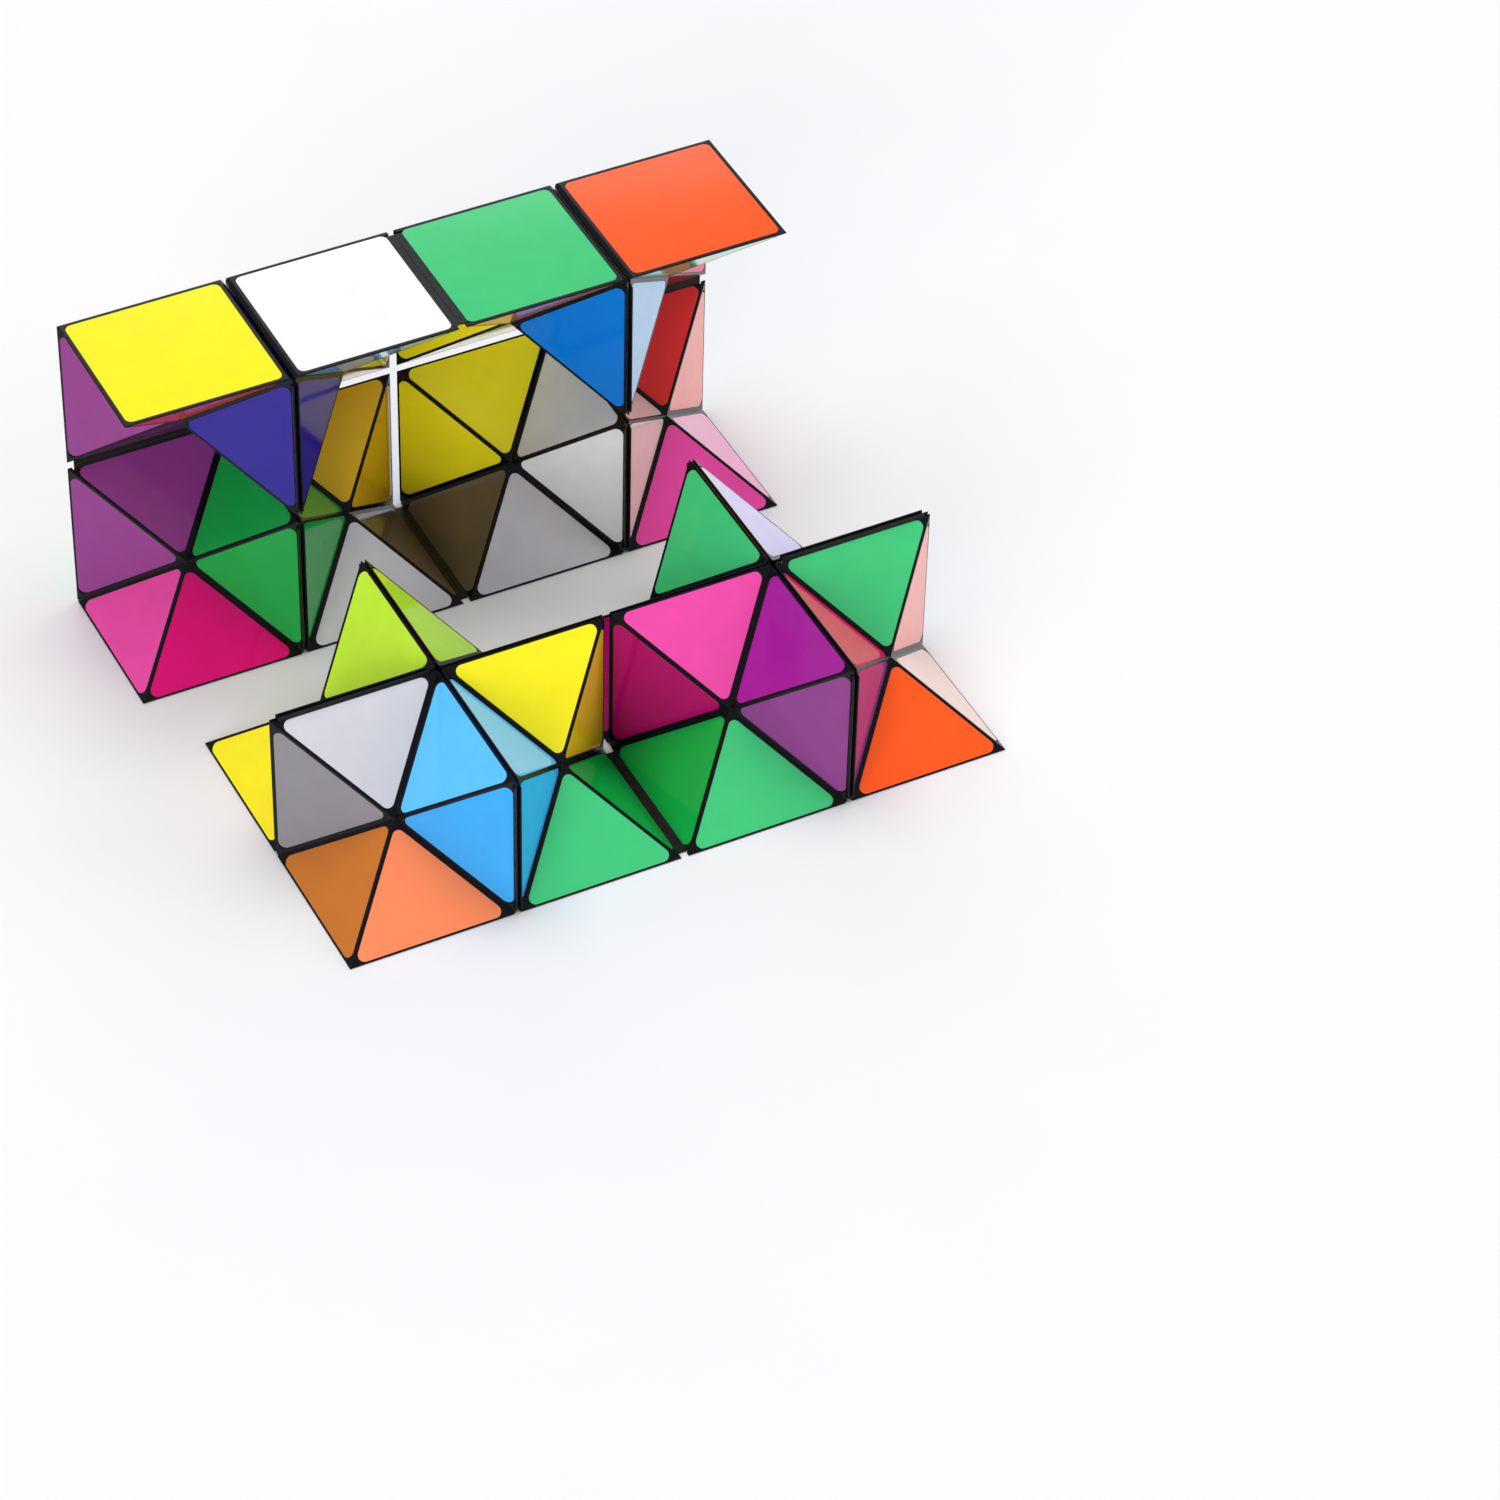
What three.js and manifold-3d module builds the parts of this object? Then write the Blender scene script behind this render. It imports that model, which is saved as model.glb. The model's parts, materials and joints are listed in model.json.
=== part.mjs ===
// A folding star puzzle in two halves. Each half is a closed ring of eight equal units, joined edge to
// edge by strips of film. A unit fills half of a cube-shaped cell: three square walls meet at one corner
// of the cell, and six triangular star faces run in from their free edges to the cell's centre. Every
// wall and star face has a shallow pocket with rounded corners for a label.
// Half A stands on its long edge with its hollows to the front, and half B lies flat in front of it.
// Units are mm. +X is to the right along both halves, +Y is to the back and +Z is up.
import * as THREE from 'three';
import { mergeVertices } from 'three/addons/utils/BufferGeometryUtils.js';
import Module from 'manifold-3d';

const CELL = 30; // pitch of the cells
const FACE_INSET = 0.2; // each square wall stands back this far from the side of its cell
const STAR_INSET = 0.2; // each star face stands back this far from the plane through the cell's centre
const EDGE_CHAMFER = 0.6; // leg of the chamfer along all twelve edges of the cell
const POCKET_DEPTH = 0.12;
const WALL_POCKET_SIDE = 27.3;
const WALL_POCKET_RADIUS = 1.2;
const STAR_POCKET_SIDE_INSET = 0.55; // from the two edges that run to the cell's centre
const STAR_POCKET_BASE_INSET = 1; // from the edge of the cell
const STAR_POCKET_RADIUS = 1.1;
const POCKET_CUT_HEIGHT = 1; // of a pocket's cutter, which stays clear of the facing star face
const CORNER_SEGMENTS = 3; // of each rounded corner
const FILM_LENGTH = 26.4; // along the fold
const FILM_REACH = 3.7; // how far a leaf reaches onto its unit from the fold
const FILM_THICKNESS = 0.2;
const FILM_DEPTH = 0.33; // from the side of the cell to the leaf's outer face, just under the label
const FILM_FOLD_GAP = 0.05; // from the leaf's end to the fold
const FILM_SIDE_CLEARANCE = 0.3; // round the leaf, in its recess
const FILM_UNDER_CLEARANCE = 0.1;
const HALF_A_CORNER = [-62.7, 20.78, -0.2]; // front, left, bottom corner of the half's first cell
const HALF_B_CORNER = [-57.3, -51.22, -0.2];

const BODY_COLOUR = 0x0b0b0d;
const FILM_COLOUR = 0x141416;
const BODY_ROUGHNESS = 0.25;
const FILM_ROUGHNESS = 0.5;
const COLUMNS = 4;
const HALF_CELL = CELL / 2;
const BEYOND = 5; // how far a cutter runs out past what it cuts
const WELD_DISTANCE = 1e-5;

const DIRECTION = {
  '+x': new THREE.Vector3(1, 0, 0),
  '-x': new THREE.Vector3(-1, 0, 0),
  '+y': new THREE.Vector3(0, 1, 0),
  '-y': new THREE.Vector3(0, -1, 0),
  '+z': new THREE.Vector3(0, 0, 1),
  '-z': new THREE.Vector3(0, 0, -1),
};

// Each half has two rows of four units: 1 to 4, then 5 to 8, both from the left. A row states how many
// cells back and up it stands, and two of its units' three square walls. The third wall faces the
// neighbour in the same pair of columns. A hinge lies on the edge of a named wall of each of its two
// units, on the side that the second direction names.
const HALVES = [
  {
    name: 'a',
    corner: HALF_A_CORNER,
    rows: [
      { back: 0, up: 1, walls: ['+y', '+z'] },
      { back: 0, up: 0, walls: ['+y', '-z'] },
    ],
    hinges: [
      { units: [1, 2], edges: [['+x', '-y'], ['-x', '-y']] },
      { units: [3, 4], edges: [['+x', '-y'], ['-x', '-y']] },
      { units: [5, 6], edges: [['+x', '-y'], ['-x', '-y']] },
      { units: [7, 8], edges: [['+x', '-y'], ['-x', '-y']] },
      { units: [1, 5], edges: [['+y', '-z'], ['+y', '+z']] },
      { units: [4, 8], edges: [['+y', '-z'], ['+y', '+z']] },
      { units: [2, 3], edges: [['+z', '+x'], ['+z', '-x']] },
      { units: [6, 7], edges: [['-z', '+x'], ['-z', '-x']] },
    ],
  },
  {
    name: 'b',
    corner: HALF_B_CORNER,
    rows: [
      { back: 0, up: 0, walls: ['+y', '-z'] },
      { back: 1, up: 0, walls: ['-y', '-z'] },
    ],
    hinges: [
      { units: [1, 2], edges: [['+x', '-y'], ['-x', '-y']] },
      { units: [3, 4], edges: [['+x', '-y'], ['-x', '-y']] },
      { units: [5, 6], edges: [['+x', '+y'], ['-x', '+y']] },
      { units: [7, 8], edges: [['+x', '+y'], ['-x', '+y']] },
      { units: [1, 5], edges: [['+y', '+z'], ['-y', '+z']] },
      { units: [4, 8], edges: [['+y', '+z'], ['-y', '+z']] },
      { units: [2, 3], edges: [['-z', '+x'], ['-z', '-x']] },
      { units: [6, 7], edges: [['-z', '+x'], ['-z', '-x']] },
    ],
  },
];

const wasm = await Module();
wasm.setup();

function toSolid(geometry) {
  const bare = geometry.clone();
  bare.deleteAttribute('normal');
  bare.deleteAttribute('uv');
  const welded = mergeVertices(bare, WELD_DISTANCE);
  return new wasm.Manifold(new wasm.Mesh({
    numProp: 3,
    vertProperties: new Float32Array(welded.attributes.position.array),
    triVerts: new Uint32Array(welded.index.array),
  }));
}

function toGeometry(solid) {
  const mesh = solid.getMesh();
  const geometry = new THREE.BufferGeometry();
  geometry.setAttribute('position', new THREE.BufferAttribute(new Float32Array(mesh.vertProperties), 3));
  geometry.setIndex(new THREE.BufferAttribute(new Uint32Array(mesh.triVerts), 1));
  const faceted = geometry.toNonIndexed();
  faceted.computeVertexNormals();
  return faceted;
}

// The whole cell, drawn in by the wall inset, with every edge chamfered: a cube cut back by one square
// bar along each axis, turned 45 degrees.
function chamferedCell() {
  const side = CELL - 2 * FACE_INSET;
  const acrossChamfers = (2 * side - 2 * EDGE_CHAMFER) / Math.SQRT2;
  const bar = new THREE.BoxGeometry(side + BEYOND, acrossChamfers, acrossChamfers).rotateX(Math.PI / 4);
  return toSolid(new THREE.BoxGeometry(side, side, side))
    .intersect(toSolid(bar))
    .intersect(toSolid(bar.clone().rotateZ(Math.PI / 2)))
    .intersect(toSolid(bar.clone().rotateY(Math.PI / 2)));
}

// The square pyramid of empty space that opens towards one side of the cell, its tip just past the
// cell's centre.
function hollow(side) {
  const height = HALF_CELL + BEYOND;
  const pyramid = new THREE.ConeGeometry(height * Math.SQRT2, height, 4)
    .rotateY(Math.PI / 4)
    .translate(0, STAR_INSET * Math.SQRT2 - height / 2, 0);
  const turn = new THREE.Quaternion().setFromUnitVectors(DIRECTION['-y'], DIRECTION[side]);
  return toSolid(pyramid.applyQuaternion(turn));
}

// A box on a wall beside one of its edges, given by how deep it lies under the side of the cell and
// how far it runs back from the edge.
function edgeBox(wall, edge, depths, reaches, length) {
  const out = DIRECTION[wall];
  const across = DIRECTION[edge];
  const along = new THREE.Vector3().crossVectors(out, across);
  const size = new THREE.Vector3()
    .addScaledVector(out, depths[1] - depths[0])
    .addScaledVector(across, reaches[1] - reaches[0])
    .addScaledVector(along, length);
  const centre = new THREE.Vector3()
    .addScaledVector(out, HALF_CELL - (depths[0] + depths[1]) / 2)
    .addScaledVector(across, HALF_CELL - (reaches[0] + reaches[1]) / 2);
  const box = new THREE.BoxGeometry(Math.abs(size.x), Math.abs(size.y), Math.abs(size.z));
  return box.translate(centre.x, centre.y, centre.z);
}

function leafGeometry([wall, edge]) {
  const depths = [FILM_DEPTH, FILM_DEPTH + FILM_THICKNESS];
  return edgeBox(wall, edge, depths, [FILM_FOLD_GAP, FILM_REACH], FILM_LENGTH);
}

function recess([wall, edge]) {
  const depths = [-BEYOND, FILM_DEPTH + FILM_THICKNESS + FILM_UNDER_CLEARANCE];
  const reaches = [-BEYOND, FILM_REACH + FILM_SIDE_CLEARANCE];
  return toSolid(edgeBox(wall, edge, depths, reaches, FILM_LENGTH + 2 * FILM_SIDE_CLEARANCE));
}

function roundedShape(corners, radius) {
  const shape = new THREE.Shape();
  corners.forEach((corner, index) => {
    const toBefore = corners.at(index - 1).clone().sub(corner).normalize();
    const toAfter = corners[(index + 1) % corners.length].clone().sub(corner).normalize();
    const tangent = radius / Math.tan(Math.acos(toBefore.dot(toAfter)) / 2);
    const start = corner.clone().addScaledVector(toBefore, tangent);
    const end = corner.clone().addScaledVector(toAfter, tangent);
    if (index === 0) {
      shape.moveTo(start.x, start.y);
    } else {
      shape.lineTo(start.x, start.y);
    }
    shape.quadraticCurveTo(corner.x, corner.y, end.x, end.y);
  });
  shape.closePath();
  return shape;
}

// A cutter for a pocket in a face. The shape's Y axis runs along the face, its plane is the pocket's
// floor, and it is drawn up along the face's outward normal.
function pocket(shape, floor, along, outwards) {
  const block = new THREE.ExtrudeGeometry(shape, {
    depth: POCKET_CUT_HEIGHT,
    curveSegments: CORNER_SEGMENTS,
    bevelEnabled: false,
  });
  const across = new THREE.Vector3().crossVectors(along, outwards);
  const place = new THREE.Matrix4().makeBasis(across, along, outwards).setPosition(floor);
  return toSolid(block.applyMatrix4(place));
}

function wallPocket(wall) {
  const half = WALL_POCKET_SIDE / 2;
  const corners = [[-half, -half], [half, -half], [half, half], [-half, half]];
  const shape = roundedShape(corners.map(([x, y]) => new THREE.Vector2(x, y)), WALL_POCKET_RADIUS);
  const out = DIRECTION[wall];
  const along = new THREE.Vector3(out.z, out.x, out.y);
  const floor = out.clone().multiplyScalar(HALF_CELL - FACE_INSET - POCKET_DEPTH);
  return pocket(shape, floor, along, out);
}

// A star face leans from its wall towards an open side. Its tip is at the cell's centre and its base on
// the cell's edge between the two.
function starPocket(wall, side) {
  const halfTip = Math.atan(Math.SQRT1_2);
  const tip = STAR_POCKET_SIDE_INSET / Math.sin(halfTip);
  const base = HALF_CELL * Math.SQRT2 - STAR_POCKET_BASE_INSET;
  const halfBase = (base - tip) * Math.tan(halfTip);
  const corners = [[0, tip], [halfBase, base], [-halfBase, base]];
  const shape = roundedShape(corners.map(([x, y]) => new THREE.Vector2(x, y)), STAR_POCKET_RADIUS);
  const along = DIRECTION[wall].clone().add(DIRECTION[side]).normalize();
  const outwards = DIRECTION[side].clone().sub(DIRECTION[wall]).normalize();
  const floor = outwards.clone().multiplyScalar(-STAR_INSET - POCKET_DEPTH);
  return pocket(shape, floor, along, outwards);
}

function unitGeometry(walls, hingeEdges) {
  let solid = chamferedCell();
  const openSides = Object.keys(DIRECTION).filter((name) => !walls.includes(name));
  for (const side of openSides) {
    solid = solid.subtract(hollow(side));
  }
  for (const wall of walls) {
    solid = solid.subtract(wallPocket(wall));
    for (const side of openSides.filter((name) => name[1] !== wall[1])) {
      solid = solid.subtract(starPocket(wall, side));
    }
  }
  for (const hingeEdge of hingeEdges) {
    solid = solid.subtract(recess(hingeEdge));
  }
  return toGeometry(solid);
}

function addMesh(parent, name, geometry, colour, roughness) {
  const material = new THREE.MeshStandardMaterial({ color: colour, roughness, metalness: 0 });
  const mesh = new THREE.Mesh(geometry, material);
  mesh.name = name;
  parent.add(mesh);
}

function buildHalf({ name, corner, rows, hinges }) {
  const half = new THREE.Group();
  half.name = `half_${name}`;
  half.position.set(...corner);
  for (let number = 1; number <= 2 * COLUMNS; number += 1) {
    const column = (number - 1) % COLUMNS;
    const row = rows[Math.floor((number - 1) / COLUMNS)];
    const walls = [...row.walls, column % 2 === 0 ? '+x' : '-x'];
    const cell = new THREE.Group();
    cell.position.set(column + 0.5, row.back + 0.5, row.up + 0.5).multiplyScalar(CELL);
    half.add(cell);
    const ownHinges = hinges.filter(({ units }) => units.includes(number));
    const edges = ownHinges.map((hinge) => hinge.edges[hinge.units.indexOf(number)]);
    addMesh(cell, `${name}_unit_${number}`, unitGeometry(walls, edges), BODY_COLOUR, BODY_ROUGHNESS);
    ownHinges.forEach(({ units }, index) => {
      const leafName = `${name}_film_${units.join('_')}_leaf_${number}`;
      addMesh(cell, leafName, leafGeometry(edges[index]), FILM_COLOUR, FILM_ROUGHNESS);
    });
  }
  return half;
}

const puzzle = new THREE.Group();
puzzle.name = 'folding_star_puzzle';
for (const half of HALVES) {
  puzzle.add(buildHalf(half));
}

export default puzzle;
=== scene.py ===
"""A folding star puzzle in two halves: black moulded units, film hinges and a label on every face."""
import json
import math

import bmesh
import bpy
from mathutils import Matrix, Quaternion, Vector


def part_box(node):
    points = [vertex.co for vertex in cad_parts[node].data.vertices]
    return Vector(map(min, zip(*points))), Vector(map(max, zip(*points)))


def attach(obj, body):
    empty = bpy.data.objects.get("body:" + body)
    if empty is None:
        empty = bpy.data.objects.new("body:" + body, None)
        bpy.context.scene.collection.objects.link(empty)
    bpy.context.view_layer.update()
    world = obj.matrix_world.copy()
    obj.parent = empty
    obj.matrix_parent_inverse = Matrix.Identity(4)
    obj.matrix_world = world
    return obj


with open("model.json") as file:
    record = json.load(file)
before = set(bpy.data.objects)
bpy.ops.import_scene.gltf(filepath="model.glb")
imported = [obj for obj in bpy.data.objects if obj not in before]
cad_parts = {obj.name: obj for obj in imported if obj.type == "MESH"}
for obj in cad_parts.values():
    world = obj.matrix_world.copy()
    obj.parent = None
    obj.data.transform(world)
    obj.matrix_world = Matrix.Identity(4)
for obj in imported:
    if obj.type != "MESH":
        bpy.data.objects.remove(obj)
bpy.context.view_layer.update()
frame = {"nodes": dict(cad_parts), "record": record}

MM = 0.001
HALF_CELL = 15 * MM
FACE_INSET = 0.2 * MM  # a wall stands back this far from the side of its cell
STAR_INSET = 0.2 * MM  # a star face stands back this far from its plane through the cell's centre
POCKET_DEPTH = 0.12 * MM  # each label lies in a pocket in its face
LABEL_THICKNESS = 0.1 * MM
LABEL_RIM = 0.04 * MM  # how far a label's top edge is rounded in and down
WALL_LABEL_SIDE = 27.2 * MM
WALL_LABEL_RADIUS = 1.2 * MM
STAR_LABEL_SIDE_INSET = 0.6 * MM
STAR_LABEL_BASE_INSET = 1.05 * MM
STAR_LABEL_RADIUS = 1.1 * MM
CORNER_STEPS = 6  # in the arc of each rounded corner
RIM_KNEE = 0.3  # part of the rim's inset at its lower edge
BODY_ROUND = 0.12 * MM
ROUND_SEGMENTS = 3
ROUND_ANGLE = math.radians(25)  # edges sharper than this are rounded
WELD_DISTANCE = 0.002 * MM
PALE_EDGE_RADIUS = 0.1 * MM  # how far from an edge the plastic is painted paler: rubbed wear and a painted highlight
BODY_SPECULAR = 0.22
FILM_SPECULAR = 0.2
LABEL_SPECULAR = 0.28
FLOOR_HALF_SIDE = 3.0
FLOOR_GAP = 0.01 * MM  # between the floor and what stands on it
FLOOR_ROUGHNESS = 0.9
WORLD_COLOUR = (0.95, 0.97, 1.0, 1)
WORLD_STRENGTH = 0.4

CAMERA_AIM = Vector((0.0110, -0.0561, 0.0250))
CAMERA_AZIMUTH = math.radians(-28.3)
CAMERA_ELEVATION = math.radians(42.65)
CAMERA_ROLL = math.radians(1.8)
CAMERA_DISTANCE = 0.896
CAMERA_LENS = 135.3
SENSOR_WIDTH = 36

DIRECTIONS = {
    "+x": Vector((1, 0, 0)),
    "-x": Vector((-1, 0, 0)),
    "+y": Vector((0, 1, 0)),
    "-y": Vector((0, -1, 0)),
    "+z": Vector((0, 0, 1)),
    "-z": Vector((0, 0, -1)),
}

COLOURS = {
    "yellow": "ffee20",
    "white": "f6f6f8",
    "green": "42c67a",
    "leaf": "10a646",
    "lime": "c0f036",
    "gold": "f6c41e",
    "orange": "ff5a1c",
    "coral": "ff8a5a",
    # painted shade: the coral label darkened, for a star face that leans away from the light
    "amber": "c8742a",
    # painted shade: the silver label darkened to brown, for a star face in the shadow under a unit
    "umber": "6e6048",
    "red": "dc2c2c",
    "crimson": "ec1468",
    "maroon": "b80c6a",
    "salmon": "fa9c92",
    "blush": "f0d2ca",
    # painted highlight: the pink label lightened, for a right-facing star face
    "rose": "fca8d4",
    "pink": "f04ca8",
    "magenta": "e00078",
    "violet": "a41e98",
    "plum": "923c8c",
    "indigo": "2c2098",
    "lavender": "d2c8f0",
    "blue": "0480e6",
    "azure": "34aefa",
    # on up-facing star faces of b_unit_1 and b_unit_2 this is painted light: the azure label lightened
    "sky": "5ec4fc",
    "ice": "aed6fc",
    "silver": "d0ced4",
    # painted shade: the silver label darkened, for a left-facing star face
    "grey": "8e8b92",
}

# Each unit's three walls, and the label on each. Then the six star faces: the two of the pyramid that
# stands on each wall, named by the open side that each leans towards.
# Where the two star faces of one pyramid carry a lighter and a darker colour, some pairs are one label
# in painted light and painted shade, as noted at each unit.
UNITS = {
    "a_unit_1": (
        {"+x": "indigo", "+y": "pink", "+z": "yellow"},
        {("+y", "-x"): "plum", ("+y", "-z"): "plum", ("+x", "-y"): "indigo",
         ("+x", "-z"): "indigo", ("+z", "-x"): "orange", ("+z", "-y"): "orange"},
    ),
    "a_unit_2": (
        {"-x": "indigo", "+y": "yellow", "+z": "white"},
        {("-x", "-y"): "indigo", ("-x", "-z"): "indigo", ("+y", "+x"): "yellow",
         ("+y", "-z"): "gold", ("+z", "+x"): "azure", ("+z", "-y"): "azure"},
    ),
    "a_unit_3": (
        {"+x": "silver", "+y": "orange", "+z": "green"},
        {("+x", "-y"): "blue", ("+x", "-z"): "blue", ("+y", "-x"): "yellow",
         ("+y", "-z"): "yellow", ("+z", "-x"): "salmon", ("+z", "-y"): "salmon"},
    ),
    "a_unit_4": (
        {"-x": "silver", "+y": "azure", "+z": "orange"},
        {("-x", "-y"): "ice", ("-x", "-z"): "ice", ("+y", "+x"): "crimson",
         ("+y", "-z"): "red", ("+z", "+x"): "green", ("+z", "-y"): "green"},
    ),
    "a_unit_5": (
        {"+x": "leaf", "+y": "green", "-z": "silver"},
        {("+y", "-x"): "plum", ("+y", "+z"): "plum", ("+x", "-y"): "leaf",
         ("+x", "+z"): "leaf", ("-z", "-x"): "pink", ("-z", "-y"): "magenta"},
    ),
    # the (-z, +x) star face is painted shade: its silver label darkened to brown
    "a_unit_6": (
        {"-x": "leaf", "+y": "violet", "-z": "azure"},
        {("-x", "-y"): "leaf", ("-x", "+z"): "leaf", ("+y", "+x"): "gold",
         ("+y", "+z"): "gold", ("-z", "+x"): "umber", ("-z", "-y"): "silver"},
    ),
    # the (-z, -x) star face is painted shade: its silver label darkened to brown
    "a_unit_7": (
        {"+x": "gold", "+y": "sky", "-z": "pink"},
        {("+x", "-y"): "white", ("+x", "+z"): "silver", ("+y", "-x"): "yellow",
         ("+y", "+z"): "yellow", ("-z", "-x"): "umber", ("-z", "-y"): "silver"},
    ),
    # the (+y, +x) and (-z, +x) star faces are painted highlight: the red and pink labels lightened
    "a_unit_8": (
        {"-x": "gold", "+y": "white", "-z": "yellow"},
        {("-x", "-y"): "blush", ("-x", "+z"): "blush", ("+y", "+x"): "salmon",
         ("+y", "+z"): "red", ("-z", "+x"): "rose", ("-z", "-y"): "pink"},
    ),
    # painted light and shade: the (+x, +z) face is the azure label lightened, the (+y, -x) and (-z, -x)
    # faces are the silver and coral labels darkened
    "b_unit_1": (
        {"+x": "blue", "+y": "indigo", "-z": "yellow"},
        {("+y", "-x"): "grey", ("+y", "+z"): "silver", ("+x", "-y"): "azure",
         ("+x", "+z"): "sky", ("-z", "-x"): "amber", ("-z", "-y"): "coral"},
    ),
    # painted light and shade: the (-x, +z) face is the azure label lightened, the (+y, +x) and (-z, +x)
    # faces are the yellow and green labels darkened
    "b_unit_2": (
        {"-x": "blue", "+y": "red", "-z": "silver"},
        {("-x", "-y"): "azure", ("-x", "+z"): "sky", ("+y", "+x"): "gold",
         ("+y", "+z"): "yellow", ("-z", "+x"): "leaf", ("-z", "-y"): "green"},
    ),
    # painted shade: the (+y, -x), (+x, -y) and (-z, -x) faces are the pink, violet and green labels
    # darkened
    "b_unit_3": (
        {"+x": "plum", "+y": "blue", "-z": "pink"},
        {("+y", "-x"): "maroon", ("+y", "+z"): "pink", ("+x", "-y"): "plum",
         ("+x", "+z"): "violet", ("-z", "-x"): "leaf", ("-z", "-y"): "green"},
    ),
    "b_unit_4": (
        {"-x": "plum", "+y": "white", "-z": "azure"},
        {("-x", "-y"): "plum", ("-x", "+z"): "crimson", ("+y", "+x"): "salmon",
         ("+y", "+z"): "green", ("-z", "+x"): "blush", ("-z", "-y"): "orange"},
    ),
    "b_unit_5": (
        {"+x": "violet", "-y": "indigo", "-z": "green"},
        {("+x", "+y"): "lime", ("+x", "+z"): "lime", ("-y", "-x"): "maroon",
         ("-y", "+z"): "maroon", ("-z", "-x"): "yellow", ("-z", "+y"): "yellow"},
    ),
    "b_unit_6": (
        {"-x": "violet", "-y": "red", "-z": "orange"},
        {("-x", "+y"): "lime", ("-x", "+z"): "lime", ("-y", "+x"): "azure",
         ("-y", "+z"): "azure", ("-z", "+x"): "silver", ("-z", "+y"): "silver"},
    ),
    "b_unit_7": (
        {"+x": "gold", "-y": "blue", "-z": "white"},
        {("+x", "+y"): "green", ("+x", "+z"): "green", ("-y", "-x"): "orange",
         ("-y", "+z"): "orange", ("-z", "-x"): "maroon", ("-z", "+y"): "maroon"},
    ),
    "b_unit_8": (
        {"-x": "gold", "-y": "white", "-z": "pink"},
        {("-x", "+y"): "lavender", ("-x", "+z"): "lavender", ("-y", "+x"): "blue",
         ("-y", "+z"): "blue", ("-z", "+x"): "gold", ("-z", "+y"): "gold"},
    ),
}


def linear(hex_colour):
    """A hex sRGB colour as linear red, green, blue and an alpha of 1."""
    channels = [int(hex_colour[i:i + 2], 16) / 255 for i in (0, 2, 4)]
    return [((c + 0.055) / 1.055) ** 2.4 if c > 0.04045 else c / 12.92 for c in channels] + [1.0]


def new_material(name):
    material = bpy.data.materials.new(name)
    material.use_nodes = True
    return material, material.node_tree, material.node_tree.nodes["Principled BSDF"]


def noise(tree, scale, detail=2.0, stretch=(1, 1, 1)):
    """A noise texture in the object's own coordinates, which are metres."""
    coordinates = tree.nodes.new("ShaderNodeTexCoord")
    mapping = tree.nodes.new("ShaderNodeMapping")
    mapping.inputs["Scale"].default_value = stretch
    texture = tree.nodes.new("ShaderNodeTexNoise")
    texture.inputs["Scale"].default_value = scale
    texture.inputs["Detail"].default_value = detail
    tree.links.new(coordinates.outputs["Object"], mapping.inputs["Vector"])
    tree.links.new(mapping.outputs["Vector"], texture.inputs["Vector"])
    return texture.outputs["Fac"]


def remap(tree, value, low, high, to_low, to_high):
    node = tree.nodes.new("ShaderNodeMapRange")
    node.inputs["From Min"].default_value = low
    node.inputs["From Max"].default_value = high
    node.inputs["To Min"].default_value = to_low
    node.inputs["To Max"].default_value = to_high
    tree.links.new(value, node.inputs["Value"])
    return node.outputs["Result"]


def mix_colours(tree, factor, first, second):
    node = tree.nodes.new("ShaderNodeMix")
    node.data_type = "RGBA"
    node.inputs["A"].default_value = first
    node.inputs["B"].default_value = second
    tree.links.new(factor, node.inputs["Factor"])
    return node.outputs["Result"]


def bump(tree, shader, height, strength, distance):
    node = tree.nodes.new("ShaderNodeBump")
    node.inputs["Strength"].default_value = strength
    node.inputs["Distance"].default_value = distance
    tree.links.new(height, node.inputs["Height"])
    tree.links.new(node.outputs["Normal"], shader.inputs["Normal"])


def scaled(colour, factor):
    return [min(1.0, c * factor) for c in colour[:3]] + [1.0]


def edge_wear_and_highlight(tree):
    """1 at the edges and 0 on flat faces: how far a softened normal leans from the true one."""
    soft = tree.nodes.new("ShaderNodeBevel")
    soft.samples = 4
    soft.inputs["Radius"].default_value = PALE_EDGE_RADIUS
    true_normal = tree.nodes.new("ShaderNodeNewGeometry")
    dot = tree.nodes.new("ShaderNodeVectorMath")
    dot.operation = "DOT_PRODUCT"
    tree.links.new(soft.outputs["Normal"], dot.inputs[0])
    tree.links.new(true_normal.outputs["Normal"], dot.inputs[1])
    return remap(tree, dot.outputs["Value"], 0.98, 0.8, 0.0, 1.0)


def body_material():
    """Glossy black moulded plastic: a faint flow pattern, fine scratches, and edges painted paler as
    rubbed wear and a painted highlight.
    """
    material, tree, shader = new_material("body_black")
    pale_edge = edge_wear_and_highlight(tree)
    pale_edge_mottled = tree.nodes.new("ShaderNodeMath")
    pale_edge_mottled.operation = "MULTIPLY"
    tree.links.new(pale_edge, pale_edge_mottled.inputs[0])
    tree.links.new(remap(tree, noise(tree, 260, 3), 0.35, 0.7, 0.25, 1.0), pale_edge_mottled.inputs[1])
    # the paler edge colour is part rubbed wear, part painted highlight along the rims
    colour = mix_colours(tree, pale_edge_mottled.outputs["Value"], (0.003, 0.003, 0.005, 1), (0.04, 0.04, 0.046, 1))
    tree.links.new(colour, shader.inputs["Base Color"])
    scratches = noise(tree, 500, 4, stretch=(1, 9, 3))
    tree.links.new(remap(tree, scratches, 0.3, 0.8, 0.14, 0.34), shader.inputs["Roughness"])
    shader.inputs["Specular IOR Level"].default_value = BODY_SPECULAR
    bump(tree, shader, noise(tree, 900, 2), 0.12, 0.02 * MM)
    return material


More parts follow.
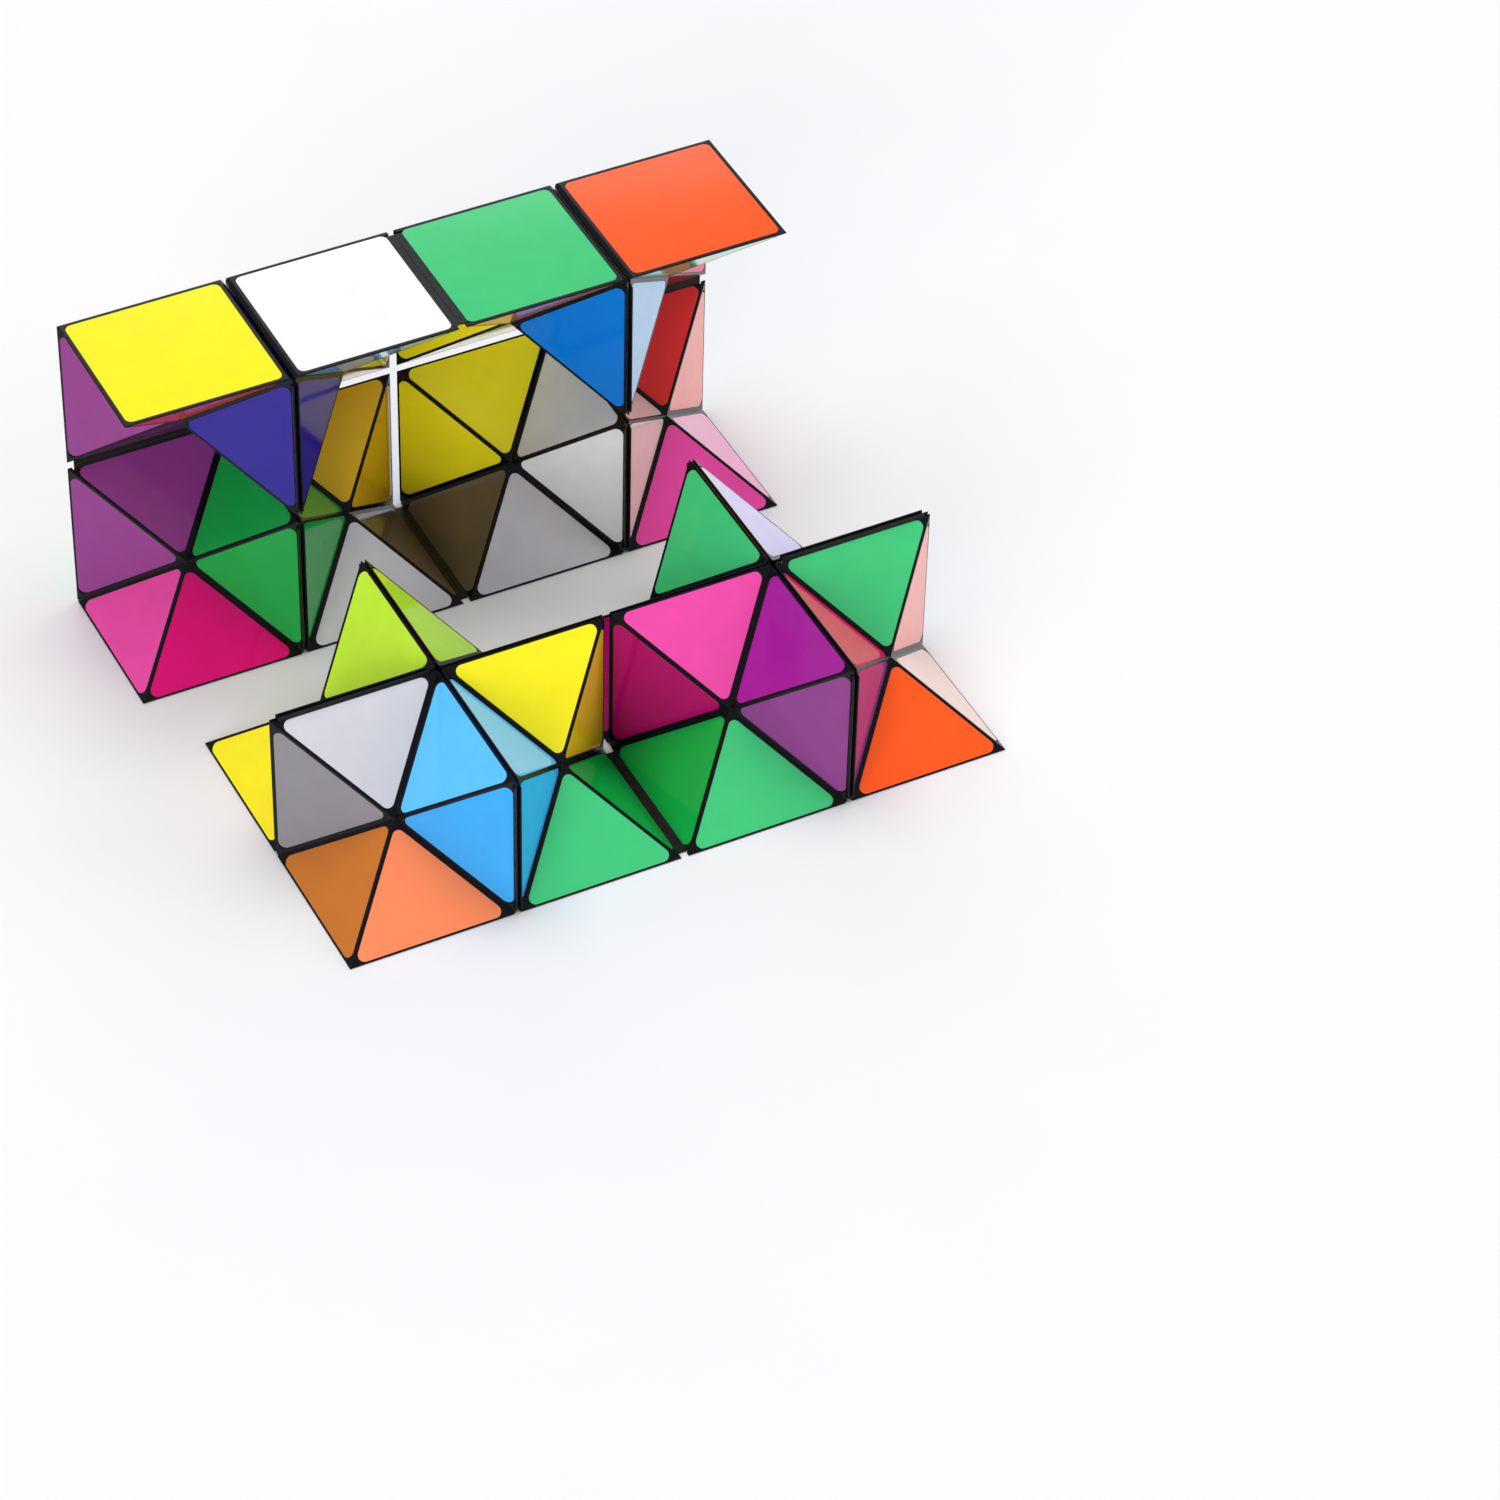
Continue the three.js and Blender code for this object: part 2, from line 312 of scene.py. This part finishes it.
def film_material():
    """Satin black film with a fine stretched grain."""
    material, tree, shader = new_material("film_black")
    grain = noise(tree, 700, 3, stretch=(3, 1, 1))
    colour = mix_colours(tree, grain, (0.003, 0.003, 0.004, 1), (0.012, 0.012, 0.014, 1))
    tree.links.new(colour, shader.inputs["Base Color"])
    tree.links.new(remap(tree, grain, 0.3, 0.7, 0.3, 0.5), shader.inputs["Roughness"])
    shader.inputs["Specular IOR Level"].default_value = FILM_SPECULAR
    bump(tree, shader, grain, 0.25, 0.03 * MM)
    return material


def label_material(name, hex_colour):
    """Printed label under a glossy clear film: slight ink mottle, orange peel and hairline scratches."""
    material, tree, shader = new_material("label_" + name)
    ink = linear(hex_colour)
    mottle = remap(tree, noise(tree, 260, 4), 0.3, 0.7, 0.0, 1.0)
    colour = mix_colours(tree, mottle, scaled(ink, 0.97), scaled(ink, 1.02))
    tree.links.new(colour, shader.inputs["Base Color"])
    hairlines = noise(tree, 420, 5, stretch=(1, 14, 2))
    tree.links.new(remap(tree, hairlines, 0.4, 0.75, 0.05, 0.16), shader.inputs["Roughness"])
    shader.inputs["Specular IOR Level"].default_value = LABEL_SPECULAR
    bump(tree, shader, noise(tree, 650, 2), 0.06, 0.02 * MM)
    return material


def rounded_outline(corners, radius):
    """A convex outline's corners replaced by arcs that touch both sides."""
    outline = []
    for index, corner in enumerate(corners):
        back = (corners[index - 1] - corner).normalized()
        ahead = (corners[(index + 1) % len(corners)] - corner).normalized()
        half_angle = back.angle(ahead) / 2
        centre = corner + (back + ahead).normalized() * radius / math.sin(half_angle)
        start = corner + back * radius / math.tan(half_angle) - centre
        sweep = math.pi - 2 * half_angle
        turn = 1 if back.cross(ahead) < 0 else -1
        for step in range(CORNER_STEPS + 1):
            angle = turn * sweep * step / CORNER_STEPS
            rotated = Vector((start.x * math.cos(angle) - start.y * math.sin(angle),
                              start.x * math.sin(angle) + start.y * math.cos(angle)))
            outline.append(centre + rotated)
    return outline


def square_outline(side, radius):
    half = side / 2
    corners = [Vector(c) for c in ((-half, -half), (half, -half), (half, half), (-half, half))]
    return rounded_outline(corners, radius)


def star_outline(side_inset, base_inset, radius):
    """A star face's outline: its tip at the cell's centre, its base square to +Y."""
    half_tip = math.atan(1 / math.sqrt(2))
    tip = side_inset / math.sin(half_tip)
    base = HALF_CELL * math.sqrt(2) - base_inset
    half_base = (base - tip) * math.tan(half_tip)
    corners = [Vector((0, tip)), Vector((half_base, base)), Vector((-half_base, base))]
    return rounded_outline(corners, radius)


def add_label(name, outline, place, colour, body):
    """A thin plate on a face: place puts its outline's plane on the face, with +Z outwards."""
    middle = sum(outline, Vector((0, 0))) / len(outline)
    levels = [
        (0.0, 0.0),
        (0.0, LABEL_THICKNESS - LABEL_RIM),
        (LABEL_RIM * RIM_KNEE, LABEL_THICKNESS - LABEL_RIM * RIM_KNEE),
        (LABEL_RIM, LABEL_THICKNESS),
    ]
    mesh = bpy.data.meshes.new(name)
    shape = bmesh.new()
    rings = []
    for inset, height in levels:
        ring = []
        for point in outline:
            drawn_in = point - (point - middle).normalized() * inset
            ring.append(shape.verts.new(place @ Vector((drawn_in.x, drawn_in.y, height))))
        rings.append(ring)
    shape.faces.new(reversed(rings[0]))
    shape.faces.new(rings[-1])
    for low, high in zip(rings, rings[1:]):
        for index in range(len(outline)):
            after = (index + 1) % len(outline)
            shape.faces.new((low[index], low[after], high[after], high[index]))
    bmesh.ops.recalc_face_normals(shape, faces=shape.faces)
    shape.to_mesh(mesh)
    shape.free()
    mesh.materials.append(MATERIALS[colour])
    label = bpy.data.objects.new(name, mesh)
    bpy.context.scene.collection.objects.link(label)
    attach(label, body)


def placed(origin, across, along, outwards):
    """The matrix that takes X, Y and Z to three perpendicular directions at an origin."""
    turn = Matrix((across, along, outwards)).transposed().to_4x4()
    return Matrix.Translation(origin) @ turn


def cell_centre(node, walls):
    """A unit's cell centre, measured back from its walls."""
    low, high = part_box(node)
    centre = Vector()
    for name in walls:
        direction = DIRECTIONS[name]
        axis = "xyz".index(name[1])
        wall = high[axis] if name[0] == "+" else low[axis]
        centre[axis] = wall - direction[axis] * (HALF_CELL - FACE_INSET)
    return centre


def plain(name):
    """A direction's name without signs, for use in a piece's name."""
    return {"+": "p", "-": "m"}[name[0]] + name[1]


def dress_unit(node, body, walls, star):
    centre = cell_centre(node, walls)
    wall_outline = square_outline(WALL_LABEL_SIDE, WALL_LABEL_RADIUS)
    star_face = star_outline(STAR_LABEL_SIDE_INSET, STAR_LABEL_BASE_INSET, STAR_LABEL_RADIUS)
    for name, colour in walls.items():
        out = DIRECTIONS[name]
        across = Vector((out.y, out.z, out.x))
        along = out.cross(across)
        place = placed(centre + out * (HALF_CELL - FACE_INSET - POCKET_DEPTH), across, along, out)
        add_label(f"{node}_label_{plain(name)}", wall_outline, place, colour, body)
    for (wall, side), colour in star.items():
        outwards = (DIRECTIONS[side] - DIRECTIONS[wall]).normalized()
        along = (DIRECTIONS[side] + DIRECTIONS[wall]).normalized()
        floor = centre - outwards * (STAR_INSET + POCKET_DEPTH)
        place = placed(floor, along.cross(outwards), along, outwards)
        add_label(f"{node}_label_{plain(wall)}_{plain(side)}", star_face, place, colour, body)


def round_edges(node):
    """Weld the loaded mesh, which is split at every edge, and round its edges to catch the light."""
    weld = node.modifiers.new("weld", "WELD")
    weld.merge_threshold = WELD_DISTANCE
    rounding = node.modifiers.new("round", "BEVEL")
    rounding.width = BODY_ROUND
    rounding.segments = ROUND_SEGMENTS
    rounding.limit_method = "ANGLE"
    rounding.angle_limit = ROUND_ANGLE


def area_light(name, location, size, watts):
    """A soft box that faces the middle of the floor."""
    data = bpy.data.lights.new(name, "AREA")
    data.shape = "RECTANGLE"
    data.size, data.size_y = size
    data.energy = watts
    light = bpy.data.objects.new(name, data)
    light.location = location
    light.rotation_euler = Vector(location).to_track_quat("Z", "Y").to_euler()
    bpy.context.scene.collection.objects.link(light)


def build_studio():
    """A plain pale floor, a pale world and four soft boxes."""
    shape = bmesh.new()
    bmesh.ops.create_grid(shape, x_segments=2, y_segments=2, size=FLOOR_HALF_SIDE)
    mesh = bpy.data.meshes.new("floor")
    shape.to_mesh(mesh)
    shape.free()
    floor = bpy.data.objects.new("floor", mesh)
    floor.location.z = -FLOOR_GAP
    bpy.context.scene.collection.objects.link(floor)
    material, tree, shader = new_material("floor_paper")
    paper = mix_colours(tree, noise(tree, 40, 3), (0.88, 0.88, 0.89, 1), (0.9, 0.9, 0.905, 1))
    tree.links.new(paper, shader.inputs["Base Color"])
    shader.inputs["Roughness"].default_value = FLOOR_ROUGHNESS
    mesh.materials.append(material)

    world = bpy.data.worlds.new("studio")
    world.use_nodes = True
    background = world.node_tree.nodes["Background"]
    background.inputs["Color"].default_value = WORLD_COLOUR
    background.inputs["Strength"].default_value = WORLD_STRENGTH
    bpy.context.scene.world = world
    area_light("top", (0.1, 0.2, 1.8), (1.6, 1.2), 18.0)
    area_light("left", (-1.3, -1.2, 0.6), (1.0, 0.8), 14.0)
    area_light("right", (1.5, -0.8, 0.6), (0.8, 1.0), 7.0)
    area_light("back", (0.3, 1.6, 0.8), (1.0, 0.8), 6.0)


def add_camera():
    toward = Vector((
        math.cos(CAMERA_ELEVATION) * math.sin(CAMERA_AZIMUTH),
        -math.cos(CAMERA_ELEVATION) * math.cos(CAMERA_AZIMUTH),
        math.sin(CAMERA_ELEVATION),
    ))
    data = bpy.data.cameras.new("camera")
    data.lens = CAMERA_LENS
    data.sensor_width = SENSOR_WIDTH
    camera = bpy.data.objects.new("camera", data)
    camera.rotation_mode = "QUATERNION"
    camera.location = CAMERA_AIM + toward * CAMERA_DISTANCE
    camera.rotation_quaternion = toward.to_track_quat("Z", "Y") @ Quaternion((0, 0, 1), CAMERA_ROLL)
    bpy.context.scene.collection.objects.link(camera)
    bpy.context.scene.camera = camera


add_camera()
MATERIALS = {name: label_material(name, value) for name, value in COLOURS.items()}
body_black = body_material()
film_black = film_material()
for body_name, members in frame["record"]["behaviour"]["bodies"].items():
    for member in members:
        cad_node = frame["nodes"][member]
        is_unit = member in UNITS
        cad_node.material_slots[0].material = body_black if is_unit else film_black
        if is_unit:
            round_edges(cad_node)
            dress_unit(member, body_name, *UNITS[member])
build_studio()
bpy.context.scene.view_settings.view_transform = "Standard"
